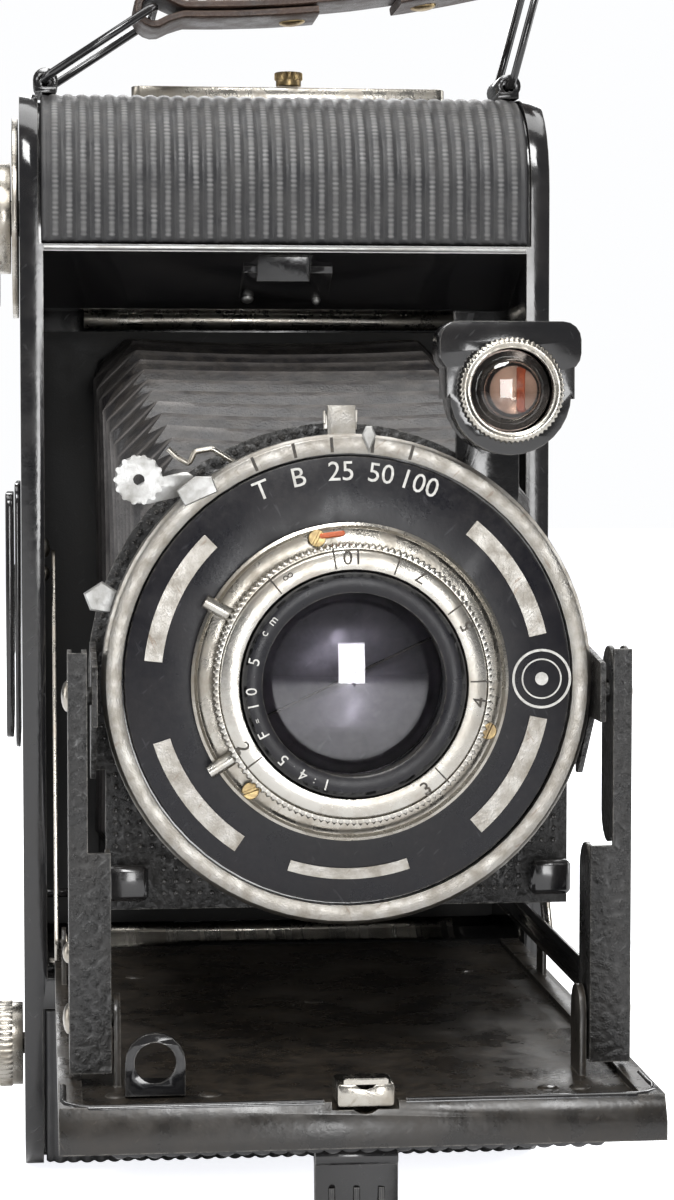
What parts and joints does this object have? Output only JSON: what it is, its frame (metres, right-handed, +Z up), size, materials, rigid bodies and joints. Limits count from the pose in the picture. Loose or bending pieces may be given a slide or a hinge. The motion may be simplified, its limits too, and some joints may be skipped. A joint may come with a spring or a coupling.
{
  "type": "folding camera",
  "caption": "Vintage roll-film folding camera standing open, with a self-erecting lens standard, leather bellows, leaf shutter, swivelling finder, fold-down bed and carrying strap.",
  "frame": {"origin": "the middle of the flat foot end of the body, on the surface that the camera stands on; the lens axis lies at x = 0", "axes": "+Z up along the body's long side, -Y forward out of the lens, +X to the right seen from the front"},
  "size_m": [0.0894, 0.145, 0.1899],
  "materials": {
    "black_enamel": "gloss black stove enamel, worn through on the edges",
    "crackle_black": "black crackle lacquer on pressed steel",
    "ribbed_leatherette": "dark grey ribbed leatherette",
    "nickel_plate": "worn satin nickel plate",
    "bright_aluminium": "bright pressed aluminium",
    "aged_brass": "tarnished brass",
    "matt_blacking": "matt black",
    "bellows_leather": "thin pleated black leather",
    "strap_leather": "dark brown leather",
    "lens_glass": "polished glass",
    "red_celluloid": "dark red window",
    "spool_wood": "turned wood"
  },
  "bodies": {
    "root": {"body_shell": "black_enamel", "leather_top": "ribbed_leatherette", "leather_bottom": "ribbed_leatherette", "film_gate": "matt_blacking", "bellows": "bellows_leather", "winder_plate": "nickel_plate", "finder_base": "black_enamel", "strap_lug_left": "nickel_plate", "strap_lug_right": "nickel_plate", "bed_hinge_pin": "nickel_plate"},
    "winder": {"wind_key": "nickel_plate", "takeup_spool": "matt_blacking"},
    "feed": {"feed_spool": "spool_wood"},
    "roller_top": {"film_roller_top": "nickel_plate"},
    "roller_bottom": {"film_roller_bottom": "nickel_plate"},
    "knob": {"spool_knob": "nickel_plate"},
    "sight_front": {"sight_frame": "black_enamel"},
    "sight_rear": {"rear_sight": "black_enamel"},
    "door": {"back_door": "black_enamel", "door_leather": "ribbed_leatherette", "pressure_plate": "matt_blacking", "pressure_spring": "nickel_plate", "red_window": "red_celluloid"},
    "cover": {"window_cover": "nickel_plate"},
    "latch": {"latch_bar": "nickel_plate", "latch_knob": "aged_brass"},
    "bail_left": {"bail_left": "nickel_plate"},
    "strap": {"strap": "strap_leather"},
    "bail_right": {"bail_right": "nickel_plate"},
    "bed": {"bed": "black_enamel", "bed_leather": "ribbed_leatherette", "front_lug": "nickel_plate"},
    "catch": {"bed_catch": "nickel_plate"},
    "stand": {"stand_leg": "aged_brass"},
    "struts": {"strut_left": "crackle_black", "strut_right": "crackle_black"},
    "links": {"link_left": "black_enamel", "link_right": "black_enamel"},
    "stays": {"stay_left": "nickel_plate", "stay_right": "nickel_plate"},
    "standard": {"standard_plate": "crackle_black", "shutter_case": "black_enamel", "shutter_face": "black_enamel", "lens_flange": "nickel_plate", "rear_cell": "matt_blacking", "rear_lens": "lens_glass", "finder_bracket": "black_enamel"},
    "press_left": {"press_catch_left": "black_enamel"},
    "press_right": {"press_catch_right": "black_enamel"},
    "speed": {"speed_ring": "nickel_plate"},
    "aperture": {"aperture_ring": "nickel_plate"},
    "release": {"release_lever": "bright_aluminium"},
    "blade_one": {"shutter_blade_1": "matt_blacking"},
    "blade_two": {"shutter_blade_2": "matt_blacking"},
    "focus": {"focus_ring": "nickel_plate", "front_lens": "lens_glass", "lens_cell": "black_enamel"},
    "finder": {"finder_body": "crackle_black", "finder_bezel": "nickel_plate", "finder_glass": "lens_glass"}
  },
  "joints": [
    {"name": "bed_hinge", "type": "hinge", "parent": "root", "child": "bed", "pos_m": [0, -0.017, 0.034], "axis": [-1, 0, 0], "range_deg": [0, 90], "deforming": ["bellows"]},
    {"name": "strut_fold", "type": "hinge", "parent": "bed", "child": "struts", "pos_m": [0, -0.1055, 0.0435], "axis": [-1, 0, 0], "range_deg": [0, 90]},
    {"name": "standard_upright", "type": "hinge", "parent": "struts", "child": "standard", "pos_m": [0, -0.1055, 0.0825], "axis": [-1, 0, 0], "range_deg": [-180, 0]},
    {"name": "link_fold", "type": "hinge", "parent": "root", "child": "links", "pos_m": [0, -0.0114, 0.0435], "axis": [-1, 0, 0], "range_deg": [0, 90]},
    {"name": "stay_fold", "type": "hinge", "parent": "bed", "child": "stays", "pos_m": [0, -0.047, 0.042], "axis": [-1, 0, 0], "range_deg": [-127, 0]},
    {"name": "stand_fold", "type": "hinge", "parent": "bed", "child": "stand", "pos_m": [0, -0.1126, 0.0277], "axis": [-1, 0, 0], "range_deg": [-88, 0]},
    {"name": "bed_catch_press", "type": "slide", "parent": "bed", "child": "catch", "axis": [0, 1, 0], "range_m": [0, 0.0014], "stiffness_N_per_m": 300},
    {"name": "focus_turn", "type": "hinge", "parent": "standard", "child": "focus", "pos_m": [0, -0.1045, 0.084], "axis": [0, -1, 0], "range_deg": [-12, 246]},
    {"name": "speed_turn", "type": "hinge", "parent": "standard", "child": "speed", "pos_m": [0, -0.1045, 0.084], "axis": [0, -1, 0], "range_deg": [-16, 30]},
    {"name": "aperture_turn", "type": "hinge", "parent": "standard", "child": "aperture", "pos_m": [0, -0.1045, 0.084], "axis": [0, -1, 0], "range_deg": [-28, 2]},
    {"name": "release_press", "type": "hinge", "parent": "standard", "child": "release", "pos_m": [0, -0.1045, 0.084], "axis": [0, -1, 0], "range_deg": [0, 7], "stiffness_Nm_per_rad": 0.05},
    {"name": "blade_one_swing", "type": "hinge", "parent": "standard", "child": "blade_one", "pos_m": [0.01269, -0.1015, 0.08992], "axis": [0, -1, 0], "range_deg": [0, 42]},
    {"name": "blade_two_swing", "type": "hinge", "parent": "standard", "child": "blade_two", "pos_m": [-0.01269, -0.1015, 0.07808], "axis": [0, -1, 0], "range_deg": [0, 42]},
    {"name": "finder_swivel", "type": "hinge", "parent": "standard", "child": "finder", "pos_m": [0.0186, -0.105, 0.111], "axis": [0, -1, 0], "range_deg": [-90, 0]},
    {"name": "press_left_push", "type": "slide", "parent": "standard", "child": "press_left", "axis": [1, 0, 0], "range_m": [0, 0.0015], "stiffness_N_per_m": 300},
    {"name": "press_right_push", "type": "slide", "parent": "standard", "child": "press_right", "axis": [-1, 0, 0], "range_m": [0, 0.0015], "stiffness_N_per_m": 300},
    {"name": "door_hinge", "type": "hinge", "parent": "root", "child": "door", "pos_m": [0, 0.0189, 0.00885], "axis": [-1, 0, 0], "range_deg": [0, 105]},
    {"name": "latch_slide", "type": "slide", "parent": "root", "child": "latch", "axis": [1, 0, 0], "range_m": [0, 0.004]},
    {"name": "window_cover_swing", "type": "hinge", "parent": "door", "child": "cover", "pos_m": [0.018, 0.0208, 0.06], "axis": [0, -1, 0], "range_deg": [-90, 0]},
    {"name": "winder_turn", "type": "hinge", "parent": "root", "child": "winder", "pos_m": [0, 0.0015, 0.1475], "axis": [1, 0, 0], "continuous": true},
    {"name": "feed_turn", "type": "hinge", "parent": "root", "child": "feed", "pos_m": [0, 0.0015, 0.0175], "axis": [1, 0, 0], "continuous": true},
    {"name": "roller_top_turn", "type": "hinge", "parent": "root", "child": "roller_top", "pos_m": [0, 0.0136, 0.1323], "axis": [1, 0, 0], "continuous": true},
    {"name": "roller_bottom_turn", "type": "hinge", "parent": "root", "child": "roller_bottom", "pos_m": [0, 0.0136, 0.0327], "axis": [1, 0, 0], "continuous": true},
    {"name": "spool_knob_pull", "type": "slide", "parent": "root", "child": "knob", "axis": [-1, 0, 0], "range_m": [0, 0.004], "stiffness_N_per_m": 200},
    {"name": "sight_front_open", "type": "hinge", "parent": "root", "child": "sight_front", "pos_m": [-0.04185, -0.017, 0.0865], "axis": [0, 0, 1], "range_deg": [0, 90]},
    {"name": "sight_rear_open", "type": "hinge", "parent": "root", "child": "sight_rear", "pos_m": [-0.04185, 0.015, 0.086], "axis": [0, 0, -1], "range_deg": [0, 90]},
    {"name": "bail_left_swing", "type": "hinge", "parent": "root", "child": "bail_left", "pos_m": [-0.036, 0, 0.1682], "axis": [0, -1, 0], "range_deg": [-6, 8]},
    {"name": "strap_level", "type": "hinge", "parent": "bail_left", "child": "strap", "pos_m": [-0.01932, 0, 0.17924], "axis": [0, -1, 0], "range_deg": [-10, 7.6]},
    {"name": "bail_right_swing", "type": "hinge", "parent": "root", "child": "bail_right", "pos_m": [0.036, 0, 0.1682], "axis": [0, -1, 0], "range_deg": [-3.1, 4.1]}
  ],
  "couplings": [
    {"joint": "strut_fold", "follows": "bed_hinge", "ratio": 1},
    {"joint": "standard_upright", "follows": "bed_hinge", "ratio": -2},
    {"joint": "link_fold", "follows": "bed_hinge", "ratio": 1},
    {"joint": "stay_fold", "follows": "bed_hinge", "ratio": -1.407},
    {"joint": "blade_one_swing", "follows": "release_press", "ratio": 6},
    {"joint": "blade_two_swing", "follows": "release_press", "ratio": 6},
    {"joint": "strap_level", "follows": "bail_left_swing", "ratio": -1.236},
    {"joint": "bail_right_swing", "follows": "bail_left_swing", "ratio": 0.507}
  ]
}
